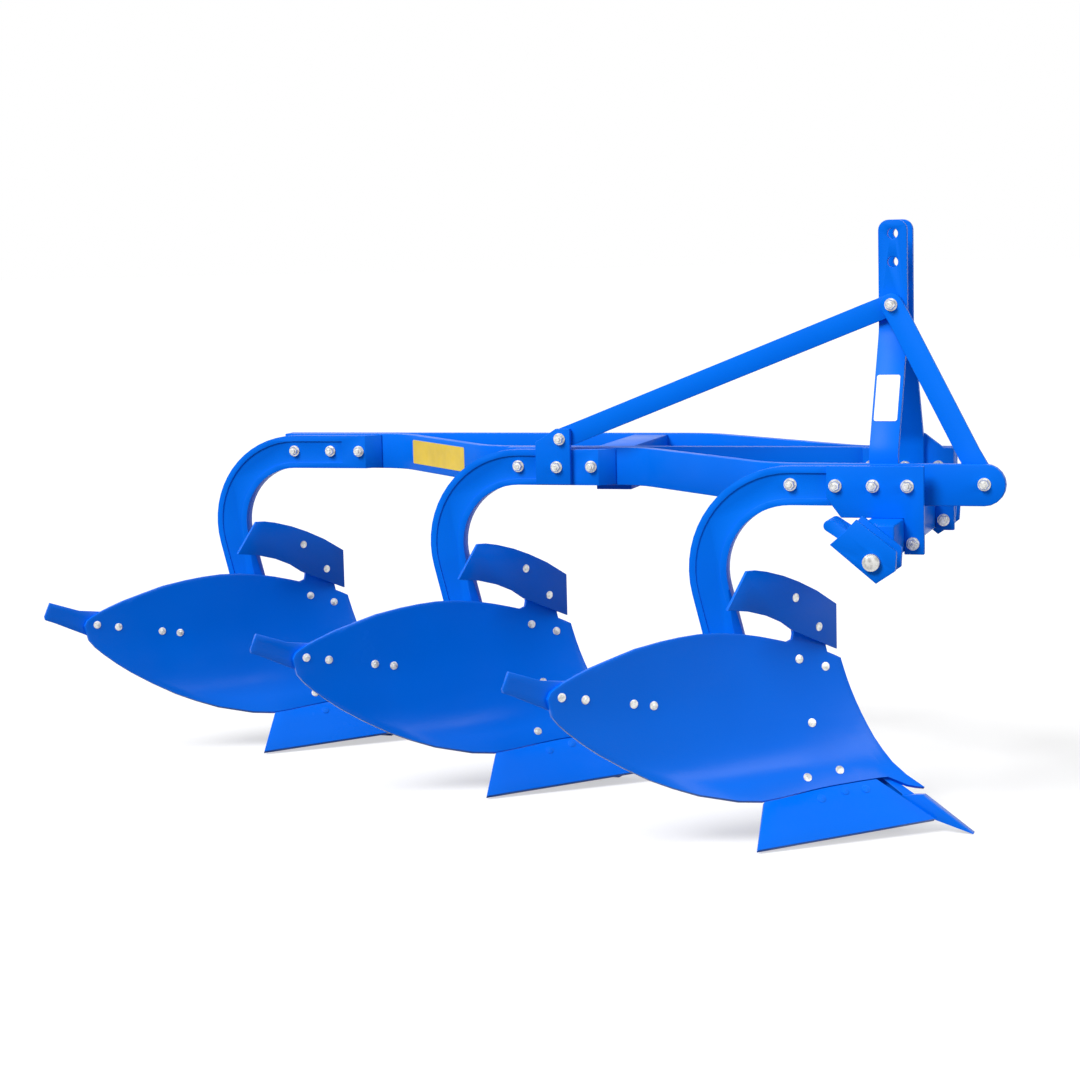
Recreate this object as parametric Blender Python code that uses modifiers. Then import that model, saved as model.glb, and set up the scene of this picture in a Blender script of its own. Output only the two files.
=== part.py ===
"""Three-furrow mounted moldboard plough.

Metres, +X is the direction of travel, +Y left, +Z up. It is laid out from the front shank's first bolt
(x = 0, y = 0 on the shank's right face) above the ground, and then moved so that the origin is the bottom
centre of its box. The three bodies are alike and stepped back by BODY_STEP and left by FURROW.
"""

import math

import bmesh
import bpy
import numpy as np
from mathutils import Matrix, Vector

GAP = 0.0003  # between pieces that touch
FACET = 0.0004  # what the flat facets of two curved pieces differ by

# Overall sizes
BODY_STEP = 0.613  # from one body to the next, along the travel
FURROW = 0.305  # from one body to the next, across it
BEAM_HEIGHT = 0.645  # of the beams' bolts above the ground
MAST_TOP = 1.110
HITCH_SPACING = 0.683  # between the middles of the two lower hitch clevises

# Frame bars
BEAM_DEPTH = 0.074
BEAM_DROP = 0.002  # from the bolts down to the bars' middle
BEAM_THICK = 0.020
BEAM_TAIL = 0.032  # from the last bolt back to a beam's rear end
PLATE_THICK = 0.012
GUSSET_RISE = 0.028  # of the left headstock plate beside the mast
BRACE_DEPTH = 0.040
BRACE_THICK = 0.010
NOSE_BOLT = 0.341  # x of the bolt at the front beam's rounded nose

# Shank: an arm along the beam, an arc, and a foot that leans forward
SHANK_THICK = 0.028
SHANK_DEPTH = 0.070
SHANK_RADIUS = 0.154  # of the arc's middle line
SHANK_TURN = 104  # degrees of arc from the arm to the foot
SHANK_WEB = 0.022  # what is left between the two side recesses
SHANK_RIM = 0.012
RECESS_END = 0.112  # where the side recesses stop along the arm
ARM_END = 0.166  # where the arm starts to taper to its tip
ARM_TIP = 0.194
TIP_THICK = 0.003
FOOT_END = 0.175  # height at which the foot stops

# Soil-engaging plates
LANDSIDE_FACE = 0.116  # y of the landside's outer face
LANDSIDE_THICK = 0.008
LANDSIDE_DEPTH = 0.105
LANDSIDE_HEEL = -0.070  # x of its rear end
LANDSIDE_NOSE = 0.222
LANDSIDE_CUT = (0.060, 0.030)  # what is cut off its lower front corner
LANDSIDE_RAKE = 0.072  # how far its front edge leans back
BAR_WIDTH = 0.020
BAR_DEPTH = 0.025
BAR_TIP = 0.311
BAR_SLOPE = 37.0
BAR_LENGTH = 0.290
BAR_CHISEL = 0.075  # length of the slope that sharpens its tip
MOLDBOARD_THICK = 0.008
SHARE_THICK = 0.009
TRASH_THICK = 0.006
TAIL_THICK = 0.006
SEAM = 0.0012  # between the moldboard and the share
FROG_PAD = 0.012

# Hitch and mast
CROSS_BAR = 0.060
CLEVIS_GAP = 0.045
PIN_RADIUS = 0.011
PIN_HEAD = 0.010  # how far a pin stands out of its clevis
PIN_RIM = 0.004  # by how much its head is wider
MAST_WIDTH = 0.052
MAST_GAP = 0.052
CROWN_RADIUS = 0.019  # of the two corners of its top
SPACER_RADIUS = 0.017  # of the round between its two legs
MAST_X = 0.160
MAST_BOLT = MAST_TOP - 0.152
LINK_HOLE_RADIUS = 0.0100
LINK_HOLES = (MAST_TOP - 0.076, MAST_TOP - 0.025)

BODIES = (("front", 0), ("middle", 1), ("rear", 2))

# The moldboard as level curves: height, x of the shin there, and the curve's angle to the travel
# at the shin and at ANGLE_SPAN behind it.
ANGLE_SPAN = 0.5
LEVELS = (
    (0.000, 0.320, 31.0, 42.0),
    (0.076, 0.222, 31.0, 43.0),
    (0.106, 0.178, 32.0, 43.0),
    (0.157, 0.134, 34.0, 43.5),
    (0.201, 0.109, 36.0, 44.0),
    (0.255, 0.085, 38.0, 44.5),
    (0.314, 0.066, 40.0, 45.0),
    (0.400, 0.046, 42.0, 46.0),
    (0.470, 0.034, 43.0, 46.0),
)
# Its outline: distance behind the shin along the level curve, lower edge, upper edge. The step up
# near the shin is the lug that carries the trash board.
OUTLINE = (
    (0.0000, 0.078, 0.314),
    (0.0120, 0.080, 0.321),
    (0.0240, 0.084, 0.327),
    (0.0270, 0.087, 0.440),
    (0.0380, 0.0990, 0.448),
    (0.0600, 0.0985, 0.448),
    (0.0800, 0.0975, 0.440),
    (0.0840, 0.0972, 0.366),
    (0.0890, 0.0970, 0.356),
    (0.1010, 0.0965, 0.352),
    (0.1250, 0.0950, 0.359),
    (0.1550, 0.0935, 0.367),
    (0.1880, 0.0910, 0.374),
    (0.2320, 0.0870, 0.380),
    (0.2750, 0.0830, 0.382),
    (0.3140, 0.0805, 0.380),
    (0.3540, 0.0850, 0.376),
    (0.4080, 0.1010, 0.368),
    (0.4400, 0.1170, 0.360),
    (0.4710, 0.1350, 0.352),
    (0.5050, 0.1610, 0.343),
    (0.5380, 0.1890, 0.332),
    (0.5600, 0.2110, 0.324),
    (0.5800, 0.2340, 0.315),
    (0.5920, 0.2500, 0.308),
    (0.6000, 0.2660, 0.297),
)
LUG_BASE = 0.400  # rows whose upper edge is above this are the lug
SHOULDER_DROP = 0.012  # from the upper edge beside the lug down to the highest even row
KNEE = 10 / 12  # share of the rows that lie below it
# The tail piece bolts behind the board's tail, in the same three columns.
TAIL_OUTLINE = (
    (0.480, 0.262, 0.318),
    (0.540, 0.268, 0.322),
    (0.600, 0.277, 0.330),
    (0.660, 0.309, 0.353),
    (0.678, 0.317, 0.324),
)
# The share: its cutting edge runs from the wing to the nose, its back edge follows the moldboard's
# lower edge between these two distances behind the shin.
SHARE_WING = (-0.037, -0.135, 0.008)
SHARE_NOSE = (0.244, 0.0815, 0.028)
SHARE_SPAN = (0.314, 0.064)
# The trash board stands in an upright plane: distance behind its front end, height.
TRASH_FRONT = (0.0593, 0.1160)
TRASH_ANGLE = 57.0
TRASH_TOP = (
    (0.000, 0.414),
    (0.050, 0.444),
    (0.095, 0.465),
    (0.134, 0.480),
    (0.176, 0.492),
    (0.202, 0.497),
    (0.225, 0.498),
)
TRASH_BOTTOM = (
    (0.274, 0.433),
    (0.223, 0.425),
    (0.177, 0.412),
    (0.140, 0.396),
    (0.111, 0.377),
    (0.060, 0.355),
    (0.000, 0.330),
)


# ---------------------------------------------------------------- scene and materials

for old in list(bpy.data.objects):
    bpy.data.objects.remove(old)

parts = bpy.data.collections.new("moldboard_plough")
cutters = bpy.data.collections.new("cutters")
cutters.hide_render = True
for collection in (parts, cutters):
    bpy.context.scene.collection.children.link(collection)


def paint(name, colour, roughness, metallic=0.0):
    material = bpy.data.materials.new(name)
    material.use_nodes = True
    shader = material.node_tree.nodes["Principled BSDF"]
    shader.inputs["Base Color"].default_value = (*colour, 1.0)
    shader.inputs["Roughness"].default_value = roughness
    shader.inputs["Metallic"].default_value = metallic
    return material


FRAME_BLUE = paint("frame_blue", (0.0, 0.14, 0.82), 0.35)
BOARD_BLUE = paint("board_blue", (0.0, 0.11, 0.66), 0.22)
ZINC = paint("zinc", (0.66, 0.66, 0.64), 0.4, 0.9)

root = bpy.data.objects.new("plough", None)
parts.objects.link(root)


def body_frame(name, step):
    """The empty that carries one body's pieces."""
    frame = bpy.data.objects.new(f"{name}_body", None)
    frame.location = (-BODY_STEP * step, FURROW * step, 0)
    frame.parent = root
    parts.objects.link(frame)
    return frame


FRAMES = {name: body_frame(name, step) for name, step in BODIES}


# ---------------------------------------------------------------- shapes


def part(name, mesh, material, parent=root):
    piece = bpy.data.objects.new(name, mesh)
    if not mesh.materials:
        mesh.materials.append(material)
    piece.parent = parent
    parts.objects.link(piece)
    return piece


def cutter(name, mesh):
    piece = bpy.data.objects.new(name, mesh)
    piece.hide_render = True
    piece.display_type = "WIRE"
    cutters.objects.link(piece)
    return piece


def evaluated(piece):
    """The piece's mesh with its modifiers in it, in world space and with its loose ends welded."""
    bpy.context.view_layer.update()
    graph = bpy.context.evaluated_depsgraph_get()
    mesh = bpy.data.meshes.new_from_object(piece.evaluated_get(graph))
    mesh.transform(piece.matrix_world)
    solid = bmesh.new()
    solid.from_mesh(mesh)
    bmesh.ops.remove_doubles(solid, verts=solid.verts, dist=1e-6)
    solid.to_mesh(mesh)
    solid.free()
    mesh.materials.clear()
    return mesh


def combined(mesh, steps):
    """The mesh after each (operation, other mesh) has been applied in turn, exactly."""
    base = cutter("base", mesh)
    others = []
    for operation, other in steps:
        tool = cutter("tool", other)
        others.append(tool)
        boolean = base.modifiers.new("join", "BOOLEAN")
        boolean.operation = operation
        boolean.solver = "EXACT"
        boolean.object = tool
    result = evaluated(base)
    for used in [base, *others]:
        bpy.data.objects.remove(used)
    return result


PLANES = {
    "X": Matrix(((0, 0, 1, 0), (1, 0, 0, 0), (0, 1, 0, 0), (0, 0, 0, 1))),
    "Y": Matrix(((1, 0, 0, 0), (0, 0, -1, 0), (0, 1, 0, 0), (0, 0, 0, 1))),
    "Z": Matrix.Identity(4),
}


def plate(outline, axis, low, high, holes=()):
    """A flat outline extruded along an axis from low to high. Its points are (x, z) for Y, (x, y) for Z
    and (y, z) for X. Holes are outlines too."""
    curve = bpy.data.curves.new("outline", "CURVE")
    curve.dimensions = "2D"
    curve.fill_mode = "BOTH"
    curve.extrude = (high - low) / 2
    for points in (outline, *holes):
        spline = curve.splines.new("POLY")
        spline.points.add(len(points) - 1)
        for point, (u, v) in zip(spline.points, points):
            point.co = (u, v, 0, 1)
        spline.use_cyclic_u = True
    guide = bpy.data.objects.new("outline", curve)
    cutters.objects.link(guide)
    middle = (low + high) / 2
    place = Vector((0, 0, middle if axis != "Y" else -middle))
    guide.matrix_world = PLANES[axis] @ Matrix.Translation(place)
    mesh = evaluated(guide)
    bpy.data.objects.remove(guide)
    return mesh


def arc(centre, radius, start, end, steps):
    """Points on an arc, in degrees."""
    angles = np.radians(np.linspace(start, end, steps + 1))
    return [(centre[0] + radius * math.cos(a), centre[1] + radius * math.sin(a)) for a in angles]


def circle(centre, radius, steps=24):
    return arc(centre, radius, 0, 360, steps)[:-1]


def box(x, y, z):
    """A block between the two values given for each axis."""
    solid = bmesh.new()
    bmesh.ops.create_cube(solid, size=1)
    sizes = [high - low for low, high in (x, y, z)]
    middles = [(low + high) / 2 for low, high in (x, y, z)]
    place = Matrix.Translation(middles) @ Matrix.Diagonal((*sizes, 1))
    bmesh.ops.transform(solid, matrix=place, verts=solid.verts)
    mesh = bpy.data.meshes.new("box")
    solid.to_mesh(mesh)
    solid.free()
    return mesh


def ribbon(path, thick):
    """The outline of a strip of that thickness along a path, with mitred corners."""
    points = [Vector(point) for point in path]
    runs = [(b - a).normalized() for a, b in zip(points, points[1:])]
    left, right = [], []
    for i, point in enumerate(points):
        before, after = runs[max(i - 1, 0)], runs[min(i, len(runs) - 1)]
        across = Vector((-(before + after).y, (before + after).x)).normalized()
        reach = thick / 2 / across.dot(Vector((-after.y, after.x)))
        left.append(tuple(point + across * reach))
        right.append(tuple(point - across * reach))
    return left + right[::-1]


def stadium(start, end, width, steps=10):
    """The outline of a flat bar with round ends around two points."""
    lean = math.degrees(math.atan2(end[1] - start[1], end[0] - start[0]))
    far = arc(end, width / 2, lean - 90, lean + 90, steps)
    return far + arc(start, width / 2, lean + 90, lean + 270, steps)


def sheet(place, columns, rows):
    """An open grid laid on place(u, v), where u and v run from 0 to 1."""
    grid = bmesh.new()
    bmesh.ops.create_grid(grid, x_segments=columns, y_segments=rows, size=0.5)
    for vertex in grid.verts:
        vertex.co = place(vertex.co.x + 0.5, vertex.co.y + 0.5)
    mesh = bpy.data.meshes.new("sheet")
    grid.to_mesh(mesh)
    grid.free()
    return mesh


def thickened(mesh, thick):
    """A sheet given its thickness behind the side that it faces."""
    shell = cutter("shell", mesh)
    solidify = shell.modifiers.new("wall", "SOLIDIFY")
    solidify.thickness = thick
    solidify.offset = -1
    result = evaluated(shell)
    bpy.data.objects.remove(shell)
    return result


def swept(mesh, shift):
    """A sheet pushed along a vector into a closed block."""
    solid = bmesh.new()
    solid.from_mesh(mesh)
    moved = bmesh.ops.extrude_face_region(solid, geom=list(solid.faces))
    far = [v for v in moved["geom"] if isinstance(v, bmesh.types.BMVert)]
    bmesh.ops.translate(solid, vec=shift, verts=far)
    bmesh.ops.recalc_face_normals(solid, faces=solid.faces)
    result = bpy.data.meshes.new("block")
    solid.to_mesh(result)
    solid.free()
    return result


def shade(mesh, sharp=40):
    mesh.shade_smooth()
    mesh.set_sharp_from_angle(angle=math.radians(sharp))
    return mesh


def on_bodies(name, mesh, material):
    """One copy of a body's piece on each of the three bodies."""
    for body, _ in BODIES:
        part(f"{body}_{name}", mesh, material, FRAMES[body])


# ---------------------------------------------------------------- the moldboard's surface


def along(table, column, height):
    """A table's column at a height, by a smooth curve through its rows."""
    rows = np.array(table)
    heights, values = rows[:, 0], rows[:, column]
    slopes = np.gradient(values, heights)
    i = int(np.clip(np.searchsorted(heights, height) - 1, 0, len(heights) - 2))
    span = heights[i + 1] - heights[i]
    t = (height - heights[i]) / span
    return (
        (2 * t**3 - 3 * t**2 + 1) * values[i]
        + (t**3 - 2 * t**2 + t) * span * slopes[i]
        + (3 * t**2 - 2 * t**3) * values[i + 1]
        + (t**3 - t**2) * span * slopes[i + 1]
    )


def surface(back, height):
    """The point of the moldboard's face a distance behind the shin at a height. Level curves are arcs."""
    shin = along(LEVELS, 1, height)
    start, end = (math.radians(along(LEVELS, column, height)) for column in (2, 3))
    bend = (end - start) / ANGLE_SPAN
    turned = start + bend * back
    x = shin - (math.sin(turned) - math.sin(start)) / bend
    y = LANDSIDE_FACE - (math.cos(start) - math.cos(turned)) / bend
    return Vector((x, y, height))


def facing(back, height):
    """The direction that the moldboard's face looks in: forward, right and up."""
    step = 1e-4
    level = surface(back - step, height) - surface(back + step, height)
    rise = surface(back, height + step) - surface(back, height - step)
    return rise.cross(level).normalized() * -1


def behind(back, height, depth):
    return surface(back, height) - facing(back, height) * depth


def column(table, share):
    """The distance behind the shin at a share of the way through a table's rows."""
    backs = [row[0] for row in table]
    return np.interp(share * (len(backs) - 1), range(len(backs)), backs)


def edges(table, back):
    """Lower and upper edge at a distance behind the shin."""
    rows = np.array(table)
    return np.interp(back, rows[:, 0], rows[:, 1]), np.interp(back, rows[:, 0], rows[:, 2])


def even(back, low, high, v):
    return low + (high - low) * v


def below_lug(back, low, high, v):
    """A row's height on the moldboard. Only the rows above KNEE rise into the lug."""
    rows = np.array([row for row in OUTLINE if row[2] < LUG_BASE])
    shoulder = np.interp(back, rows[:, 0], rows[:, 2]) - SHOULDER_DROP
    if v <= KNEE:
        return low + (shoulder - low) * v / KNEE
    return shoulder + (high - shoulder) * (v - KNEE) / (1 - KNEE)


def board_sheet(table, depth, rows, level=even):
    """A sheet that follows the moldboard's face at a depth behind it, within a table's outline."""

    def place(u, v):
        back = column(table, 1 - u)
        return behind(back, level(back, *edges(table, back), v), depth)

    return sheet(place, len(table) - 1, rows)


def patch(backs, heights, depth, columns, rows):
    """A plain piece of the same surface between two distances and two heights."""

    def place(u, v):
        back = backs[1] + (backs[0] - backs[1]) * u
        return behind(back, heights[0] + (heights[1] - heights[0]) * v, depth)

    return sheet(place, columns, rows)


def share_point(u, v):
    """A point of the share's face: u goes from wing to nose, v from the cutting edge to the back edge."""
    edge = Vector(SHARE_WING).lerp(Vector(SHARE_NOSE), u)
    back = SHARE_SPAN[0] + (SHARE_SPAN[1] - SHARE_SPAN[0]) * u
    return edge.lerp(surface(back, edges(OUTLINE, back)[0] - SEAM), v)


wing, nose, back_wing = (share_point(u, v) for u, v in ((0, 0), (1, 0), (0, 1)))
SHARE_FACING = (nose - wing).cross(back_wing - wing).normalized()


def under_share(u, v, depth):
    return share_point(u, v) - SHARE_FACING * depth


AHEAD = Vector((0.45, -0.40, 0.05))  # pushes a sheet into the block of soil in front of it


def soil_block(depth, low=0.072):
    """All that lies in front of the moldboard's back, which nothing behind it may reach into."""
    return swept(patch((-0.05, 0.66), (low, 0.455), depth + FACET, 14, 24), AHEAD)


def share_block(depth):
    """All that lies in front of the share's back."""
    wider = sheet(lambda u, v: under_share(-0.1 + 1.15 * u, -0.3 + 1.45 * v, depth + FACET), 6, 2)
    return swept(wider, AHEAD)


# ---------------------------------------------------------------- shanks

ARM_HALF = SHANK_DEPTH / 2
ARM_HEIGHT = BEAM_HEIGHT - BEAM_DROP  # of the middle of the shanks' arms and of the beams
ARC_CENTRE = (0.0, ARM_HEIGHT - SHANK_RADIUS)
FOOT_LEAN = math.radians(SHANK_TURN - 90)
FOOT_LENGTH = (ARC_CENTRE[1] - SHANK_RADIUS * math.sin(FOOT_LEAN) - FOOT_END) / math.cos(FOOT_LEAN)


def shank_outline(half, arm_end, foot_length):
    """The shank's side view at half of its depth from the middle line."""
    last = 90 + SHANK_TURN
    down = Vector((math.sin(FOOT_LEAN), -math.cos(FOOT_LEAN))) * foot_length
    outer = arc(ARC_CENTRE, SHANK_RADIUS + half, 90, last, 16)
    inner = arc(ARC_CENTRE, SHANK_RADIUS - half, last, 90, 16)
    foot = [(x + down.x, z + down.y) for x, z in (outer[-1], inner[0])]
    return [(arm_end, ARM_HEIGHT + half), *outer, *foot, *inner, (arm_end, ARM_HEIGHT - half)]


def arm_taper():
    """What is cut off the right side of the arm's end."""
    start = Vector((ARM_END, 0))
    run = Vector((ARM_TIP, SHANK_THICK - TIP_THICK)) - start
    first, last = start - run, start + 2 * run
    corner = [tuple(first), (last.x, first.y), tuple(last)]
    return plate(corner, "Z", ARM_HEIGHT - SHANK_DEPTH, ARM_HEIGHT + SHANK_DEPTH)


def shank_mesh():
    solid = plate(shank_outline(ARM_HALF, ARM_TIP, FOOT_LENGTH), "Y", 0, SHANK_THICK)
    recess = shank_outline(ARM_HALF - SHANK_RIM, RECESS_END, FOOT_LENGTH - SHANK_RIM)
    side = (SHANK_THICK - SHANK_WEB) / 2
    return combined(
        solid,
        [
            ("DIFFERENCE", plate(recess, "Y", -side, side)),
            ("DIFFERENCE", plate(recess, "Y", SHANK_THICK - side, SHANK_THICK + side)),
            ("DIFFERENCE", arm_taper()),
            ("DIFFERENCE", soil_block(MOLDBOARD_THICK + FROG_PAD + 2 * GAP)),
        ],
    )


on_bodies("shank", shade(shank_mesh()), FRAME_BLUE)


# ---------------------------------------------------------------- moldboards, shares and what they bolt to

BOARD_ROWS = 12
TAIL_ROWS = 3
board = thickened(board_sheet(OUTLINE, 0, BOARD_ROWS, below_lug), MOLDBOARD_THICK)
tail_sheet = board_sheet(TAIL_OUTLINE, MOLDBOARD_THICK + GAP, TAIL_ROWS)
tail = thickened(tail_sheet, TAIL_THICK)
on_bodies("moldboard", shade(board), BOARD_BLUE)
on_bodies("tail_piece", shade(tail), BOARD_BLUE)
on_bodies("share", shade(thickened(sheet(share_point, 8, 3), SHARE_THICK)), BOARD_BLUE)


def trash_mesh():
    outline = [(-back, height) for back, height in (*TRASH_TOP, *TRASH_BOTTOM)]
    mesh = plate(outline, "Y", 0, TRASH_THICK)
    turn = Matrix.Rotation(math.radians(TRASH_ANGLE), 4, "Z")
    mesh.transform(Matrix.Translation((*TRASH_FRONT, 0)) @ turn)
    return mesh


on_bodies("trash_board", shade(trash_mesh()), BOARD_BLUE)

BAR_LEFT = LANDSIDE_FACE - LANDSIDE_THICK - GAP
BAR_RIGHT = BAR_LEFT - BAR_WIDTH


def bar_mesh():
    """A square bar that slopes down beside the landside to a chisel tip."""
    slope = math.radians(BAR_SLOPE)
    up = Vector((-math.cos(slope), math.sin(slope)))
    under = Vector((-math.sin(slope), -math.cos(slope)))
    tip = Vector((BAR_TIP, 0.001))
    chisel = tip + up * BAR_CHISEL
    far = tip + up * BAR_LENGTH
    outline = [tip, far, far + under * BAR_DEPTH, chisel + under * BAR_DEPTH]
    bar = plate([tuple(point) for point in outline], "Y", BAR_RIGHT, BAR_LEFT)
    return combined(bar, [("DIFFERENCE", soil_block(MOLDBOARD_THICK + GAP))])


on_bodies("bar_point", shade(bar_mesh()), BOARD_BLUE)


def landside_mesh():
    outline = [
        (LANDSIDE_HEEL, 0),
        (LANDSIDE_NOSE - LANDSIDE_CUT[0], 0),
        (LANDSIDE_NOSE, LANDSIDE_CUT[1]),
        (LANDSIDE_NOSE - LANDSIDE_RAKE, LANDSIDE_DEPTH),
        (LANDSIDE_HEEL, LANDSIDE_DEPTH),
    ]
    side = plate(outline, "Y", LANDSIDE_FACE - LANDSIDE_THICK, LANDSIDE_FACE)
    return combined(side, [("DIFFERENCE", soil_block(MOLDBOARD_THICK + GAP, 0.05))])


on_bodies("landside", shade(landside_mesh()), FRAME_BLUE)


def frog_mesh():
    """The casting that joins the shank's foot to the moldboard, share, bar point and landside."""
    core_outline = [(-0.125, 0.150), (-0.150, 0.330), (0.060, 0.330), (0.250, 0.040), (0.060, 0.040)]
    core = plate(core_outline, "Y", SHANK_THICK + GAP, SHANK_THICK + GAP + 0.030)
    pad_depth = MOLDBOARD_THICK + GAP
    pad = thickened(patch((0.080, 0.200), (0.112, 0.300), pad_depth, 5, 5), FROG_PAD)
    share_depth = SHARE_THICK + GAP
    share_pad = thickened(
        sheet(lambda u, v: under_share(0.30 + 0.62 * u, 0.35 + 0.55 * v, share_depth), 4, 2), FROG_PAD
    )
    boss = box((-0.040, 0.066), (SHANK_THICK + 0.010, BAR_LEFT), (0.046, 0.098))
    return combined(
        core,
        [
            ("UNION", pad),
            ("UNION", share_pad),
            ("UNION", boss),
            ("DIFFERENCE", soil_block(pad_depth, 0.055)),
            ("DIFFERENCE", share_block(share_depth)),
        ],
    )


on_bodies("frog", shade(frog_mesh()), FRAME_BLUE)

STAY_THICK = 0.008
STAY_HEIGHT = 0.267
STAY_SPAN = (0.380, 0.470)


def stay_mesh():
    """The flat stay from the shank's foot to the back of the moldboard."""
    depth = MOLDBOARD_THICK + STAY_THICK / 2
    near, far = (behind(back, STAY_HEIGHT, depth) for back in STAY_SPAN)
    side = -GAP - STAY_THICK / 2
    path = [(-0.118, side), (-0.165, side), (near.x, near.y), (far.x, far.y)]
    bar = plate(ribbon(path, STAY_THICK), "Z", STAY_HEIGHT - 0.020, STAY_HEIGHT + 0.020)
    return combined(bar, [("DIFFERENCE", soil_block(MOLDBOARD_THICK + GAP))])


on_bodies("moldboard_stay", shade(stay_mesh()), FRAME_BLUE)


# ---------------------------------------------------------------- frame bars

BEAM_LOW = ARM_HEIGHT - BEAM_DEPTH / 2
BEAM_HIGH = ARM_HEIGHT + BEAM_DEPTH / 2
FIRST_LINE = SHANK_THICK + GAP + BEAM_THICK / 2  # from a shank's face to the middle of the bar behind it
SECOND_LINE = FIRST_LINE + BEAM_THICK + GAP


def eased(path, radius=0.05, steps=4):
    """A path with its inner corners rounded."""
    points = [Vector(point) for point in path]
    result = [tuple(points[0])]
    for before, corner, after in zip(points, points[1:], points[2:]):
        start = corner + (before - corner).normalized() * radius
        end = corner + (after - corner).normalized() * radius
        for i in range(steps + 1):
            t = i / steps
            result.append(tuple(start * (1 - t) ** 2 + corner * 2 * t * (1 - t) + end * t**2))
    return [*result, tuple(points[-1])]


def beam(path):
    return plate(ribbon(eased(path), BEAM_THICK), "Z", BEAM_LOW, BEAM_HIGH)


BEAM_BEND = ARM_TIP + 0.051  # where a beam bends to run beside the shank behind, measured from its bolt
FRONT_LEAVES = -0.040  # where each beam bends away from the line of its front end
MIDDLE_LEAVES = -0.080 - BODY_STEP
REAR_LEAVES, REAR_ARRIVES = 0.060, -0.310
front_path = [
    (NOSE_BOLT + BEAM_DEPTH, FIRST_LINE),
    (FRONT_LEAVES, FIRST_LINE),
    (BEAM_BEND - BODY_STEP, FURROW + FIRST_LINE),
    (-BEAM_TAIL - BODY_STEP, FURROW + FIRST_LINE),
]
round_nose = stadium((-2 * BODY_STEP, ARM_HEIGHT), (NOSE_BOLT, ARM_HEIGHT), BEAM_DEPTH)
front_beam = combined(beam(front_path), [("INTERSECT", plate(round_nose, "Y", -FURROW, 2 * FURROW))])
part("front_beam", shade(front_beam), FRAME_BLUE)

HEADSTOCK_REAR, HEADSTOCK_FRONT = 0.068, 0.241
middle_path = [
    (HEADSTOCK_FRONT, FURROW + SECOND_LINE),
    (MIDDLE_LEAVES, FURROW + SECOND_LINE),
    (BEAM_BEND - 2 * BODY_STEP, 2 * FURROW + FIRST_LINE),
    (-BEAM_TAIL - 2 * BODY_STEP, 2 * FURROW + FIRST_LINE),
]
part("middle_beam", shade(beam(middle_path)), FRAME_BLUE)

THIRD_LINE = SECOND_LINE + BEAM_THICK + GAP
rear_path = [
    (HEADSTOCK_FRONT, FURROW + THIRD_LINE),
    (REAR_LEAVES, FURROW + THIRD_LINE),
    (REAR_ARRIVES, 2 * FURROW + SECOND_LINE),
    (-BEAM_TAIL - 2 * BODY_STEP, 2 * FURROW + SECOND_LINE),
]
part("rear_beam", shade(beam(rear_path)), FRAME_BLUE)

SPACER_REAR = 0.141 - BODY_STEP
SPACER_LENGTH = 0.072
SPACER_DROP = 0.013  # how far it reaches below the beams
SPACER_TOP = 0.002
spacer = box(
    (SPACER_REAR, SPACER_REAR + SPACER_LENGTH),
    (FURROW + SECOND_LINE + BEAM_THICK / 2 + GAP, 2 * FURROW + SECOND_LINE - BEAM_THICK / 2 - GAP),
    (BEAM_LOW - SPACER_DROP, BEAM_HIGH - SPACER_TOP),
)
part("cross_spacer", spacer, FRAME_BLUE)


# ---------------------------------------------------------------- headstock, cross bar and lower hitch

BAR_HIGH = BEAM_HIGH - 0.092  # the plates' lower edge, under which the cross bar lies
LEG_WIDTH = 0.035
LEG_LOW = BAR_HIGH - 0.064
plate_outline = [
    (HEADSTOCK_REAR, BEAM_HIGH),
    (HEADSTOCK_FRONT, BEAM_HIGH),
    (HEADSTOCK_FRONT, LEG_LOW),
    (HEADSTOCK_FRONT - LEG_WIDTH, LEG_LOW),
    (HEADSTOCK_FRONT - LEG_WIDTH, BAR_HIGH),
    (HEADSTOCK_REAR + 0.026, BAR_HIGH),
    (HEADSTOCK_REAR, BAR_HIGH + 0.035),
]
RIGHT_PLATE = -GAP - PLATE_THICK  # y of each plate's right face
LEFT_PLATE = FURROW + SECOND_LINE - BEAM_THICK / 2 - GAP - PLATE_THICK
# The left plate rises beside the mast's foot and slopes down in front of it.
mast_rear, mast_front = MAST_X - MAST_WIDTH / 2, MAST_X + MAST_WIDTH / 2
gusset = [
    (mast_rear, BEAM_HIGH),
    (mast_rear, BEAM_HIGH + GUSSET_RISE),
    (mast_front, BEAM_HIGH + GUSSET_RISE),
    (mast_front + 1.3 * GUSSET_RISE, BEAM_HIGH),
]
left_outline = [plate_outline[0], *gusset, *plate_outline[1:]]
for side, low, outline in (("right", RIGHT_PLATE, plate_outline), ("left", LEFT_PLATE, left_outline)):
    part(f"headstock_plate_{side}", shade(plate(outline, "Y", low, low + PLATE_THICK)), FRAME_BLUE)

RIGHT_FOOT = FIRST_LINE + BEAM_THICK / 2 + GAP + PLATE_THICK / 2  # middle of each mast leg's foot
LEFT_FOOT = LEFT_PLATE - GAP - PLATE_THICK / 2
MAST_MIDDLE = (RIGHT_FOOT + LEFT_FOOT) / 2

# The cross bar lies in the corner of the two plates and ends against the inner clevis plates.
CLEVIS_INNER = HITCH_SPACING / 2 - CLEVIS_GAP / 2 - PLATE_THICK
bar_front = HEADSTOCK_FRONT - LEG_WIDTH - GAP
bar_high = BAR_HIGH - GAP
cross_bar = box(
    (bar_front - CROSS_BAR, bar_front),
    (MAST_MIDDLE - CLEVIS_INNER + GAP, MAST_MIDDLE + CLEVIS_INNER - GAP),
    (bar_high - CROSS_BAR, bar_high),
)
part("cross_bar", cross_bar, FRAME_BLUE)

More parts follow.
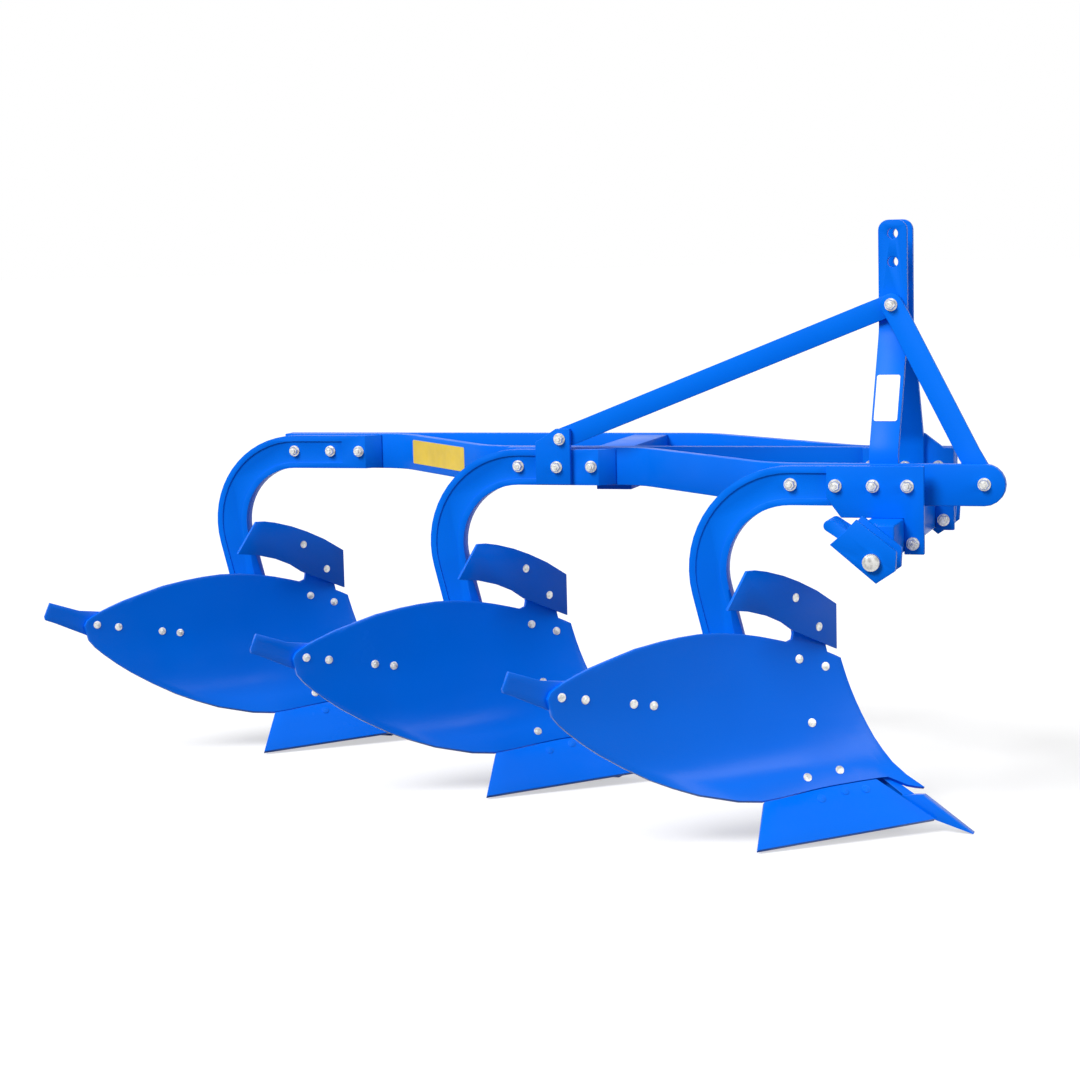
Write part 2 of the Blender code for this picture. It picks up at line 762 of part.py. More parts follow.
# Side view of a clevis plate, and of the round-ended finger that joins its two plates, measured from the
# cross bar's upper front edge.
CLEVIS_OUTLINE = (
    (-0.054, 0.017),
    (0.015, -0.037),
    (0.013, -0.070),
    (-0.020, -0.092),
    (-0.099, -0.026),
    (-0.072, -0.003),
)
CLEVIS_PIN = (-0.027, -0.055)
FINGER = ((-0.100, 0.006), (-0.072, -0.012))
FINGER_WIDTH = 0.020


def from_bar(points):
    return [(bar_front + x, bar_high + z) for x, z in points]


pin_centre = from_bar([CLEVIS_PIN])[0]


def clevis_mesh(middle):
    reach = CLEVIS_GAP / 2
    outer = reach + PLATE_THICK
    hole = circle(pin_centre, PIN_RADIUS + GAP)
    whole = plate(from_bar(CLEVIS_OUTLINE), "Y", middle - outer, middle + outer, [hole])
    mouth = box((bar_front - 1, bar_front + 1), (middle - reach, middle + reach), (0, MAST_TOP))
    inset = outer - 0.002
    finger = plate(stadium(*from_bar(FINGER), FINGER_WIDTH), "Y", middle - inset, middle + inset)
    return combined(whole, [("DIFFERENCE", mouth), ("UNION", finger)])


def pin_mesh(middle, outward):
    """A pin through the clevis, with its head on the outer side."""
    reach = CLEVIS_GAP / 2 + PLATE_THICK
    ends = sorted((middle - outward * (reach - 0.001), middle + outward * (reach + PIN_HEAD)))
    shaft = plate(circle(pin_centre, PIN_RADIUS), "Y", *ends)
    head_ends = sorted((middle + outward * (reach + GAP), middle + outward * (reach + PIN_HEAD - 0.001)))
    head = plate(circle(pin_centre, PIN_RADIUS + PIN_RIM), "Y", *head_ends)
    return combined(shaft, [("UNION", head)])


for side, outward in (("right", -1), ("left", 1)):
    middle = MAST_MIDDLE + outward * HITCH_SPACING / 2
    part(f"hitch_clevis_{side}", shade(clevis_mesh(middle)), FRAME_BLUE)
    part(f"hitch_pin_{side}", shade(pin_mesh(middle, outward)), ZINC)


# ---------------------------------------------------------------- mast and braces

MAST_HOLE = (MAST_X, MAST_BOLT)
LUG_BOLT = (0.091 - BODY_STEP, BEAM_HEIGHT + 0.055)
LUG_CLEAR = 0.045  # from the lug's bolt to where the rear brace bends
FRONT_BRACE_BENDS = (0.030, 0.058)  # from the mast's bolt and from the nose's
MAST_EASE = 0.015  # length of the rounding of the legs' bends
fall = math.atan2(MAST_BOLT - LUG_BOLT[1], MAST_X - LUG_BOLT[0])
brace_low = MAST_BOLT - MAST_WIDTH / 2 * math.tan(fall) - BRACE_DEPTH / 2 / math.cos(fall)
MAST_BEND = brace_low - MAST_EASE - 0.002  # the two legs start to spread just below the rear brace


def mast_mesh(outward, foot):
    top = MAST_MIDDLE + outward * (MAST_GAP + PLATE_THICK) / 2
    path = [(top, MAST_TOP + 0.01), (top, MAST_BEND), (foot, BEAM_HIGH + 0.020), (foot, BEAM_LOW + 0.002)]
    leg = plate(ribbon(eased(path, MAST_EASE, 3), PLATE_THICK), "X", MAST_X - MAST_WIDTH, MAST_X + MAST_WIDTH)
    half = MAST_WIDTH / 2
    corner, middle = half - CROWN_RADIUS, MAST_TOP - CROWN_RADIUS
    crown = [
        *arc((MAST_X + corner, middle), CROWN_RADIUS, 0, 90, 6),
        *arc((MAST_X - corner, middle), CROWN_RADIUS, 90, 180, 6),
    ]
    side = [(MAST_X - half, BEAM_LOW - 0.01), (MAST_X + half, BEAM_LOW - 0.01), *crown]
    holes = [circle((MAST_X, height), LINK_HOLE_RADIUS) for height in LINK_HOLES]
    return combined(leg, [("INTERSECT", plate(side, "Y", -0.1, FURROW + 0.2, holes))])


for side, outward, foot in (("right", -1, RIGHT_FOOT), ("left", 1, LEFT_FOOT)):
    part(f"mast_leg_{side}", shade(mast_mesh(outward, foot)), FRAME_BLUE)

reach = MAST_GAP / 2 - GAP
mast_tube = plate(circle(MAST_HOLE, SPACER_RADIUS), "Y", MAST_MIDDLE - reach, MAST_MIDDLE + reach)
part("mast_spacer", shade(mast_tube), FRAME_BLUE)

MAST_SIDE = MAST_MIDDLE - MAST_GAP / 2 - PLATE_THICK  # the right face of the mast's top
LUG_FACE = FURROW - GAP - PLATE_THICK

def brace(start, end, bends, ys):
    """A flat bar with round ends around two bolts in side view. It steps from the first y to the second
    between two bends, each given by its distance from the nearer bolt."""
    run = Vector(end) - Vector(start)
    steps = (-BRACE_DEPTH, bends[0], run.length - bends[1], run.length + BRACE_DEPTH)
    path = list(zip(steps, (ys[0], ys[0], ys[1], ys[1])))
    strip = plate(ribbon(path, BRACE_THICK), "Z", -BRACE_DEPTH, BRACE_DEPTH)
    turn = Matrix.Rotation(-math.atan2(run.y, run.x), 4, "Y")
    strip.transform(Matrix.Translation((start[0], 0, start[1])) @ turn)
    outline = plate(stadium(start, end, BRACE_DEPTH), "Y", -FURROW, 2 * FURROW)
    return combined(strip, [("INTERSECT", outline)])


# The rear brace lies against the mast and behind its lug, and stands on the shank's arm. The front brace
# lies on it.
rear_ys = (MAST_SIDE - GAP - BRACE_THICK / 2, FURROW + BRACE_THICK / 2)
front_ys = (rear_ys[0] - BRACE_THICK - GAP, FIRST_LINE + (BEAM_THICK + BRACE_THICK) / 2 + GAP)
front_brace = brace(MAST_HOLE, (NOSE_BOLT, BEAM_HEIGHT), FRONT_BRACE_BENDS, front_ys)
ARM_TOP = ARM_HEIGHT + ARM_HALF + GAP
below_arm = box((-2 * BODY_STEP, MAST_X), (-FURROW, 2 * FURROW), (0, ARM_TOP))
past_mast = (MAST_WIDTH + BRACE_DEPTH) / 2 / math.cos(fall) + 0.001
rear_brace = brace(MAST_HOLE, LUG_BOLT, (past_mast, LUG_CLEAR), rear_ys)
rear_brace = combined(rear_brace, [("DIFFERENCE", below_arm)])
part("front_brace", shade(front_brace), FRAME_BLUE)
part("rear_brace", shade(rear_brace), FRAME_BLUE)

LUG_REAR, LUG_FRONT = LUG_BOLT[0] - 0.050, LUG_BOLT[0] + 0.021
LUG_LOW, LUG_HIGH = BEAM_LOW + 0.004, BEAM_HIGH + 0.040
lug_outline = [
    (LUG_REAR, LUG_LOW),
    (LUG_FRONT, LUG_LOW),
    (LUG_FRONT, LUG_HIGH),
    (LUG_BOLT[0] - 0.008, LUG_HIGH),
    (LUG_REAR, BEAM_HIGH + 0.013),
]
part("brace_lug", shade(plate(lug_outline, "Y", LUG_FACE, FURROW - GAP)), FRAME_BLUE)


# ---------------------------------------------------------------- origin

bpy.context.view_layer.update()
corners = [
    piece.matrix_world @ vertex.co
    for piece in parts.objects
    if piece.type == "MESH"
    for vertex in piece.data.vertices
]
low, high = (Vector(map(pick, zip(*corners))) for pick in (min, max))
root.location = (-(low.x + high.x) / 2, -(low.y + high.y) / 2, -low.z)
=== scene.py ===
"""Looks of the three-furrow moldboard plough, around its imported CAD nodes. Metres, +X forward, +Y left."""

import math

import bmesh
import bpy
from mathutils import Matrix, Vector
from mathutils.bvhtree import BVHTree


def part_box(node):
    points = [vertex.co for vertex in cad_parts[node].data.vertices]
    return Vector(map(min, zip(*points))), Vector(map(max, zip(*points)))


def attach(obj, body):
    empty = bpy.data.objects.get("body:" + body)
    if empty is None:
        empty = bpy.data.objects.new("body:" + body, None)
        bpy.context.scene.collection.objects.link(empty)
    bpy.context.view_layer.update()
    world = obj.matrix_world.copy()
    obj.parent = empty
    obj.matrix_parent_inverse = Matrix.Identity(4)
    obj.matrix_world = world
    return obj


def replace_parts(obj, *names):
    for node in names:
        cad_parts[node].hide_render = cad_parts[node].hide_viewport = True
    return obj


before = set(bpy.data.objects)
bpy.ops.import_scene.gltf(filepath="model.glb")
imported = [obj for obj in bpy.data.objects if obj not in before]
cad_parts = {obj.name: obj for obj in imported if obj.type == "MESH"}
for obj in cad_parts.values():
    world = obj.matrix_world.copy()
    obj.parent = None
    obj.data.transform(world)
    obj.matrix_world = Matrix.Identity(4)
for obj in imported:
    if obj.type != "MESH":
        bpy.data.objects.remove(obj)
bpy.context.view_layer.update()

# ---------------------------------------------------------------- where things are
# The bodies step back and left from the first one. Places on the plough are measured from the first bolt
# of the front shank, on the shank's right face, and from the ground.

BODY_STEP = 0.613
FURROW = 0.305
LANDSIDE_HEEL = -0.070  # the front landside's rear end and outer face, measured from that bolt
LANDSIDE_FACE = 0.116
heel_low, heel_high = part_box("front_landside")
START = Vector((heel_low.x - LANDSIDE_HEEL, heel_high.y - LANDSIDE_FACE, 0))
BODY_NAMES = ("front", "middle", "rear")
BODIES = {name: Vector((-BODY_STEP * i, FURROW * i, 0)) for i, name in enumerate(BODY_NAMES)}


def place(x, y, z):
    return START + Vector((x, y, z))


def finished(name, mesh, material):
    """A new piece that rides with the plough, with its place in its mesh."""
    piece = bpy.data.objects.new(name, mesh)
    mesh.materials.clear()
    mesh.materials.append(material)
    bpy.context.scene.collection.objects.link(piece)
    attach(piece, "root")
    return piece


# ---------------------------------------------------------------- floor, light and camera
# A studio with a white floor and a white surround. The key light comes from high on the right and behind,
# so the boards' faces, which look forward, are darker than the frame. A soft lamp in front glosses them.

scene = bpy.context.scene
scene.view_settings.view_transform = "Standard"
SURROUND_LIGHT = 0.46
FLOOR_GREY = 0.14  # what the floor throws back on the plough
FLOOR_SEEN = 0.50  # what the camera sees of it, with FLOOR_GLOW added
FLOOR_GLOW = 0.56


def seen_directly(tree):
    """1 for what the camera sees by itself, in gloss or through glass, and 0 for what lights other things."""
    rays = tree.nodes.new("ShaderNodeLightPath")
    seen = rays.outputs["Is Camera Ray"]
    for kind in ("Is Glossy Ray", "Is Transmission Ray"):
        either = tree.nodes.new("ShaderNodeMath")
        either.operation = "MAXIMUM"
        tree.links.new(seen, either.inputs[0])
        tree.links.new(rays.outputs[kind], either.inputs[1])
        seen = either.outputs[0]
    return seen


def shader_node(tree, kind, colour, strength=None):
    node = tree.nodes.new(kind)
    node.inputs["Color"].default_value = (*colour, 1)
    if strength is not None:
        node.inputs["Strength"].default_value = strength
    return node.outputs[0]


def split(tree, unseen, seen, output):
    """The output shows one shader to what is seen directly, and the other to the rest."""
    choice = tree.nodes.new("ShaderNodeMixShader")
    tree.links.new(seen_directly(tree), choice.inputs[0])
    tree.links.new(unseen, choice.inputs[1])
    tree.links.new(seen, choice.inputs[2])
    tree.links.new(choice.outputs[0], tree.nodes.new(output).inputs["Surface"])


WHITE = (1, 1, 1)
world = bpy.data.worlds.new("surround")
scene.world = world
world.use_nodes = True
sky = world.node_tree
sky.nodes.clear()
dim = shader_node(sky, "ShaderNodeBackground", WHITE, SURROUND_LIGHT)
split(sky, dim, shader_node(sky, "ShaderNodeBackground", WHITE, 1.0), "ShaderNodeOutputWorld")

FLOOR_SIZE = 120.0
floor_mesh = bpy.data.meshes.new("floor")
grid = bmesh.new()
bmesh.ops.create_grid(grid, x_segments=1, y_segments=1, size=FLOOR_SIZE / 2)
grid.to_mesh(floor_mesh)
grid.free()
floor = bpy.data.objects.new("floor", floor_mesh)
floor_paint = bpy.data.materials.new("floor_white")
floor_paint.use_nodes = True
ground = floor_paint.node_tree
ground.nodes.clear()
pale = ground.nodes.new("ShaderNodeAddShader")
ground.links.new(shader_node(ground, "ShaderNodeBsdfDiffuse", (FLOOR_SEEN,) * 3), pale.inputs[0])
ground.links.new(shader_node(ground, "ShaderNodeEmission", WHITE, FLOOR_GLOW), pale.inputs[1])
grey = shader_node(ground, "ShaderNodeBsdfDiffuse", (FLOOR_GREY,) * 3)
split(ground, grey, pale.outputs[0], "ShaderNodeOutputMaterial")
floor_mesh.materials.append(floor_paint)
scene.collection.objects.link(floor)

KEY_STRENGTH = 3.1
KEY_WIDTH = 24  # degrees
KEY_SIDE = (-0.32, -0.66, 0.68)  # where it stands, from the plough
lamp = bpy.data.lights.new("key", "SUN")
lamp.energy = KEY_STRENGTH
lamp.angle = math.radians(KEY_WIDTH)
key = bpy.data.objects.new("key", lamp)
key.rotation_euler = Vector(KEY_SIDE).to_track_quat("Z", "Y").to_euler()
scene.collection.objects.link(key)

SOFT_POWER = 48  # watts
SOFT_SIZE = (2.6, 1.0)  # metres
SOFT_AWAY = 6.0
SOFT_SIDE = (0.84, -0.38, 0.40)  # from the boards
soft = bpy.data.lights.new("soft", "AREA")
soft.shape = "RECTANGLE"
soft.energy = SOFT_POWER
soft.size, soft.size_y = SOFT_SIZE
soft_lamp = bpy.data.objects.new("soft", soft)
soft_side = Vector(SOFT_SIDE).normalized()
soft_lamp.location = soft_side * SOFT_AWAY
soft_lamp.rotation_euler = soft_side.to_track_quat("Z", "Y").to_euler()
scene.collection.objects.link(soft_lamp)

CAMERA_PLACE = (0.9347, -4.3219, 1.1089)
CAMERA_YAW = 0.3146
CAMERA_PITCH = 0.1248
CAMERA_ROLL = -0.0256
LENS_MM = 82.57
SENSOR_MM = 36.0
ahead = Vector((-math.sin(CAMERA_YAW), math.cos(CAMERA_YAW), 0))
right = Vector((math.cos(CAMERA_YAW), math.sin(CAMERA_YAW), 0))
up = Vector((0, 0, 1))
look = ahead * math.cos(CAMERA_PITCH) - up * math.sin(CAMERA_PITCH)
top = up * math.cos(CAMERA_PITCH) + ahead * math.sin(CAMERA_PITCH)
across = right * math.cos(CAMERA_ROLL) + top * math.sin(CAMERA_ROLL)
crown = top * math.cos(CAMERA_ROLL) - right * math.sin(CAMERA_ROLL)
lens = bpy.data.cameras.new("camera")
lens.lens = LENS_MM
lens.sensor_width = SENSOR_MM
camera = bpy.data.objects.new("camera", lens)
turn = Matrix((across, crown, -look)).transposed().to_4x4()
camera.matrix_world = Matrix.Translation(place(*CAMERA_PLACE)) @ turn
scene.collection.objects.link(camera)
scene.camera = camera


# ---------------------------------------------------------------- paint
# One coat of gloss blue over steel. It has a fine orange peel and a slow change of tone. Its edges are paler
# in patches, partly from thin, worn paint and partly as a painted highlight where the rounded edges catch
# light.

EDGE_WIDTH = 0.0015
EDGE_SAMPLES = 4
EDGE_STARTS, EDGE_FULL = 0.985, 0.80  # cosines between the rounded normal and the true one
TONE_SCALE = 3.0
WEAR_SCALE = 30.0
SHEEN_SCALE = 9.0
PEEL_SCALE = 420.0
PEEL_HEIGHT = 0.0006


def new_material(name, roughness, metallic=0.0, specular=0.5):
    material = bpy.data.materials.new(name)
    material.use_nodes = True
    shader = material.node_tree.nodes["Principled BSDF"]
    shader.inputs["Roughness"].default_value = roughness
    shader.inputs["Metallic"].default_value = metallic
    shader.inputs["Specular IOR Level"].default_value = specular
    return material, material.node_tree, shader


def noise(tree, scale, detail, stretch=(1, 1, 1)):
    coordinates = tree.nodes.new("ShaderNodeTexCoord")
    mapping = tree.nodes.new("ShaderNodeMapping")
    mapping.inputs["Scale"].default_value = stretch
    texture = tree.nodes.new("ShaderNodeTexNoise")
    texture.inputs["Scale"].default_value = scale
    texture.inputs["Detail"].default_value = detail
    tree.links.new(coordinates.outputs["Object"], mapping.inputs["Vector"])
    tree.links.new(mapping.outputs[0], texture.inputs["Vector"])
    return texture.outputs["Fac"]


def ranged(tree, value, low, high, out_low, out_high):
    ramp = tree.nodes.new("ShaderNodeMapRange")
    for socket, number in zip(ramp.inputs[1:5], (low, high, out_low, out_high)):
        socket.default_value = number
    tree.links.new(value, ramp.inputs[0])
    return ramp.outputs[0]


def mixed(tree, factor, first, second):
    """A colour mix. first and second are colours or sockets."""
    node = tree.nodes.new("ShaderNodeMix")
    node.data_type = "RGBA"
    tree.links.new(factor, node.inputs["Factor"])
    for socket, value in ((node.inputs[6], first), (node.inputs[7], second)):
        if isinstance(value, tuple):
            socket.default_value = (*value, 1)
        else:
            tree.links.new(value, socket)
    return node.outputs[2]


def edge_mask(tree, radius):
    """1 on edges and 0 on flats, from how far the rounded normal leaves the true one."""
    rounded = tree.nodes.new("ShaderNodeBevel")
    rounded.samples = EDGE_SAMPLES
    rounded.inputs["Radius"].default_value = radius
    true = tree.nodes.new("ShaderNodeNewGeometry")
    dot = tree.nodes.new("ShaderNodeVectorMath")
    dot.operation = "DOT_PRODUCT"
    tree.links.new(rounded.outputs[0], dot.inputs[0])
    tree.links.new(true.outputs["Normal"], dot.inputs[1])
    return ranged(tree, dot.outputs["Value"], EDGE_STARTS, EDGE_FULL, 0.0, 1.0)


def bumped(tree, shader, height, strength, distance):
    bump = tree.nodes.new("ShaderNodeBump")
    bump.inputs["Strength"].default_value = strength
    bump.inputs["Distance"].default_value = distance
    tree.links.new(height, bump.inputs["Height"])
    tree.links.new(bump.outputs[0], shader.inputs["Normal"])
    return bump


def blue_paint(name, deep, bright, edge, roughness, peel, gloss):
    material, tree, shader = new_material(name, roughness, specular=gloss)
    tone = mixed(tree, ranged(tree, noise(tree, TONE_SCALE, 2), 0.35, 0.65, 0, 1), deep, bright)
    # Where this factor is high the edges turn paler: partly worn, thin paint and partly a painted highlight.
    wear_and_shine = tree.nodes.new("ShaderNodeMath")
    wear_and_shine.operation = "MULTIPLY"
    tree.links.new(edge_mask(tree, EDGE_WIDTH), wear_and_shine.inputs[0])
    tree.links.new(ranged(tree, noise(tree, WEAR_SCALE, 3), 0.40, 0.70, 0.15, 0.8), wear_and_shine.inputs[1])
    tree.links.new(mixed(tree, wear_and_shine.outputs[0], tone, edge), shader.inputs["Base Color"])
    sheen = ranged(tree, noise(tree, SHEEN_SCALE, 4), 0.3, 0.7, roughness - 0.05, roughness + 0.08)
    tree.links.new(sheen, shader.inputs["Roughness"])
    bumped(tree, shader, noise(tree, PEEL_SCALE, 2), peel, PEEL_HEIGHT)
    return material


# The paler blue on the edges: thin, worn paint together with a painted highlight.
EDGE_WEAR_AND_HIGHLIGHT_BLUE = (0.04, 0.28, 0.90)
FRAME_PAINT = blue_paint("frame_paint", (0.0, 0.140, 0.76), (0.0, 0.158, 0.82), EDGE_WEAR_AND_HIGHLIGHT_BLUE, 0.34, 0.25, 0.06)
BOARD_PAINT = blue_paint("board_paint", (0.0, 0.135, 0.76), (0.0, 0.152, 0.83), EDGE_WEAR_AND_HIGHLIGHT_BLUE, 0.20, 0.10, 0.12)


# ---------------------------------------------------------------- steel pieces
# Each plate, bar and casting is its CAD node with its edges rounded as rolling, cutting and paint leave them.

SAME_PLACE = 1e-5
SAME_FACE = 0.1  # degrees
SHARP_EDGE = 35
ROUNDING_STEPS = 2


def softened(node, width):
    """A copy of a CAD node with its faces merged and its edges rounded."""
    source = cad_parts[node]
    solid = bmesh.new()
    solid.from_mesh(source.data)
    bmesh.ops.remove_doubles(solid, verts=solid.verts, dist=SAME_PLACE)
    bmesh.ops.dissolve_limit(solid, angle_limit=math.radians(SAME_FACE), verts=solid.verts, edges=solid.edges)
    mesh = bpy.data.meshes.new(node)
    solid.to_mesh(mesh)
    solid.free()
    blank = bpy.data.objects.new("blank", mesh)
    scene.collection.objects.link(blank)
    bevel = blank.modifiers.new("rounding", "BEVEL")
    bevel.width = width
    bevel.segments = ROUNDING_STEPS
    bevel.limit_method = "ANGLE"
    bevel.angle_limit = math.radians(SHARP_EDGE)
    graph = bpy.context.evaluated_depsgraph_get()
    made = bpy.data.meshes.new_from_object(blank.evaluated_get(graph))
    bpy.data.objects.remove(blank)
    made.shade_smooth()
    made.set_sharp_from_angle(angle=math.radians(SHARP_EDGE))
    return made


# piece of a body: rounding, paint, slot
BODY_PIECES = {
    "shank": (0.0030, FRAME_PAINT, "frame_blue"),
    "frog": (0.0020, FRAME_PAINT, "frame_blue"),
    "landside": (0.0010, FRAME_PAINT, "frame_blue"),
    "moldboard_stay": (0.0010, FRAME_PAINT, "frame_blue"),
    "moldboard": (0.0008, BOARD_PAINT, "board_blue"),
    "tail_piece": (0.0008, BOARD_PAINT, "board_blue"),
    "share": (0.0008, BOARD_PAINT, "board_blue"),
    "bar_point": (0.0008, BOARD_PAINT, "board_blue"),
    "trash_board": (0.0008, BOARD_PAINT, "board_blue"),
}
# piece of the frame: rounding
FRAME_PIECES = {
    "front_beam": 0.0015,
    "middle_beam": 0.0015,
    "rear_beam": 0.0015,
    "cross_spacer": 0.0015,
    "cross_bar": 0.0030,
    "headstock_plate_right": 0.0010,
    "headstock_plate_left": 0.0010,
    "hitch_clevis_right": 0.0010,
    "hitch_clevis_left": 0.0010,
    "mast_leg_right": 0.0010,
    "mast_leg_left": 0.0010,
    "mast_spacer": 0.0008,
    "front_brace": 0.0010,
    "rear_brace": 0.0010,
    "brace_lug": 0.0010,
}
painted = [(f"{body}_{name}", *row) for body in BODIES for name, row in BODY_PIECES.items()]
painted += [(name, width, FRAME_PAINT, "frame_blue") for name, width in FRAME_PIECES.items()]
for node, width, paint, slot in painted:
    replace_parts(finished(f"{node}_steel", softened(node, width), paint), node)


# ---------------------------------------------------------------- bolts
# Zinc-plated hexagon bolts and nuts on washers clamp the frame and the shanks. Plough bolts with flat round
# heads hold the boards, and their nuts sit behind.


def zinc_plate(name, colour, roughness):
    material, tree, shader = new_material(name, roughness, metallic=0.85)
    dull = tuple(0.6 * value for value in colour)
    stain = ranged(tree, noise(tree, 160.0, 3), 0.40, 0.68, 0, 1)
    tree.links.new(mixed(tree, stain, colour, dull), shader.inputs["Base Color"])
    wear_and_shine = ranged(tree, noise(tree, 240.0, 2), 0.3, 0.7, roughness - 0.08, roughness + 0.15)
    tree.links.new(wear_and_shine, shader.inputs["Roughness"])
    bumped(tree, shader, noise(tree, 900.0, 2), 0.2, 0.0003)
    return material


ZINC = zinc_plate("zinc_plate", (0.78, 0.78, 0.76), 0.34)
PINS = zinc_plate("pin_steel", (0.62, 0.62, 0.60), 0.38)

solids = bmesh.new()
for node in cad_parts.values():
    solids.from_mesh(node.data)
steel = BVHTree.FromBMesh(solids)
solids.free()


def seat(start, direction):
    """Where something pushed from start along direction meets the plough, and the way that it then faces."""
    spot, normal, _, _ = steel.ray_cast(start, direction)
    return spot, normal


BOLT_SIZES = ("Washer Radius", "Washer Height", "Head Radius", "Head Height", "Tip Radius", "Tip Height")
bolt_tree = bpy.data.node_groups.new("bolt_on_points", "GeometryNodeTree")
bolt_tree.interface.new_socket("Places", in_out="INPUT", socket_type="NodeSocketGeometry")
for size in BOLT_SIZES:
    bolt_tree.interface.new_socket(size, in_out="INPUT", socket_type="NodeSocketFloat")
bolt_tree.interface.new_socket("Head Sides", in_out="INPUT", socket_type="NodeSocketInt")
bolt_tree.interface.new_socket("Finish", in_out="INPUT", socket_type="NodeSocketMaterial")
bolt_tree.interface.new_socket("Bolts", in_out="OUTPUT", socket_type="NodeSocketGeometry")
given = bolt_tree.nodes.new("NodeGroupInput")
bolts_out = bolt_tree.nodes.new("NodeGroupOutput")
stack = bolt_tree.nodes.new("GeometryNodeJoinGeometry")
BOLT_SEED = 7
HEX_SIDES = 6
ROUND_SIDES = 24
ROUND_EDGE = 30  # degrees, the least that stays sharp
CHAMFER = 0.28  # share of the head's height that is chamfered
CHAMFERED = 0.86  # what the chamfer leaves of its radius


def product(first, second, operation="MULTIPLY"):
    node = bolt_tree.nodes.new("ShaderNodeMath")
    node.operation = operation
    for socket, value in zip(node.inputs, (first, second)):
        if isinstance(value, (int, float)):
            socket.default_value = value
        else:
            bolt_tree.links.new(value, socket)
    return node.outputs[0]


def slice_of_bolt(sides, low_radius, high_radius, height, base):
    """One prism of the bolt's stack, standing at base."""
    cone = bolt_tree.nodes.new("GeometryNodeMeshCone")
    if isinstance(sides, int):
        cone.inputs["Vertices"].default_value = sides
    else:
        bolt_tree.links.new(sides, cone.inputs["Vertices"])
    bolt_tree.links.new(high_radius, cone.inputs["Radius Top"])
    bolt_tree.links.new(low_radius, cone.inputs["Radius Bottom"])
    bolt_tree.links.new(height, cone.inputs["Depth"])
    lift = bolt_tree.nodes.new("ShaderNodeCombineXYZ")
    bolt_tree.links.new(base, lift.inputs["Z"])
    moved = bolt_tree.nodes.new("GeometryNodeTransform")
    bolt_tree.links.new(cone.outputs["Mesh"], moved.inputs["Geometry"])
    bolt_tree.links.new(lift.outputs[0], moved.inputs["Translation"])
    bolt_tree.links.new(moved.outputs[0], stack.inputs[0])


washer_radius, washer_height, head_radius, head_height, tip_radius, tip_height = (
    given.outputs[size] for size in BOLT_SIZES
)
foot = product(washer_height, 0)
slice_of_bolt(ROUND_SIDES, washer_radius, washer_radius, washer_height, foot)
prism = product(head_height, 1 - CHAMFER)
slice_of_bolt(given.outputs["Head Sides"], head_radius, head_radius, prism, washer_height)
bevel_base = product(washer_height, prism, "ADD")
bevel_height = product(head_height, CHAMFER)
top_radius = product(head_radius, CHAMFERED)
slice_of_bolt(given.outputs["Head Sides"], head_radius, top_radius, bevel_height, bevel_base)
tip_base = product(bevel_base, bevel_height, "ADD")
slice_of_bolt(ROUND_SIDES, tip_radius, product(tip_radius, CHAMFERED), tip_height, tip_base)

facing = bolt_tree.nodes.new("GeometryNodeInputNamedAttribute")
facing.data_type = "FLOAT_VECTOR"
facing.inputs["Name"].default_value = "facing"
aimed = bolt_tree.nodes.new("FunctionNodeAlignRotationToVector")
aimed.axis = "Z"
bolt_tree.links.new(facing.outputs["Attribute"], aimed.inputs["Vector"])
spin = bolt_tree.nodes.new("FunctionNodeRandomValue")
spin.data_type = "FLOAT"
spin.inputs[2].default_value = 0.0
spin.inputs[3].default_value = math.tau / HEX_SIDES
spin.inputs["Seed"].default_value = BOLT_SEED
turned = bolt_tree.nodes.new("FunctionNodeAxisAngleToRotation")
turned.inputs["Axis"].default_value = (0, 0, 1)
bolt_tree.links.new(spin.outputs[1], turned.inputs["Angle"])
rotation = bolt_tree.nodes.new("FunctionNodeRotateRotation")
rotation.rotation_space = "LOCAL"
bolt_tree.links.new(aimed.outputs[0], rotation.inputs[0])
bolt_tree.links.new(turned.outputs[0], rotation.inputs[1])
copies = bolt_tree.nodes.new("GeometryNodeInstanceOnPoints")
bolt_tree.links.new(given.outputs["Places"], copies.inputs["Points"])
bolt_tree.links.new(stack.outputs[0], copies.inputs["Instance"])
bolt_tree.links.new(rotation.outputs[0], copies.inputs["Rotation"])
realized = bolt_tree.nodes.new("GeometryNodeRealizeInstances")
bolt_tree.links.new(copies.outputs[0], realized.inputs[0])
finish = bolt_tree.nodes.new("GeometryNodeSetMaterial")
bolt_tree.links.new(realized.outputs[0], finish.inputs["Geometry"])
bolt_tree.links.new(given.outputs["Finish"], finish.inputs["Material"])
bolt_tree.links.new(finish.outputs[0], bolts_out.inputs[0])
bolt_sockets = bolt_tree.interface.items_tree
bolt_inputs = {item.name: item.identifier for item in bolt_sockets if item.in_out == "INPUT"}


def bolted(name, seats, sizes, sides, material):
    """One piece of like bolts, one at each (spot, facing) of seats."""
    points = bpy.data.meshes.new(name)
    points.from_pydata([spot for spot, _ in seats], [], [])
    facings = points.attributes.new("facing", "FLOAT_VECTOR", "POINT")
    for item, (_, normal) in zip(facings.data, seats):
        item.vector = normal
    holder = bpy.data.objects.new(name, points)
    scene.collection.objects.link(holder)
    nodes = holder.modifiers.new("bolts", "NODES")
    nodes.node_group = bolt_tree
    for size, value in zip(BOLT_SIZES, sizes):
        nodes[bolt_inputs[size]] = value
    nodes[bolt_inputs["Head Sides"]] = sides
    nodes[bolt_inputs["Finish"]] = material
    graph = bpy.context.evaluated_depsgraph_get()
    mesh = bpy.data.meshes.new_from_object(holder.evaluated_get(graph))
    bpy.data.objects.remove(holder)
    for attribute in [a for a in mesh.attributes if a.name == "facing"]:
        mesh.attributes.remove(attribute)
    mesh.shade_smooth()
    mesh.set_sharp_from_angle(angle=math.radians(ROUND_EDGE))
    return finished(name, mesh, material)


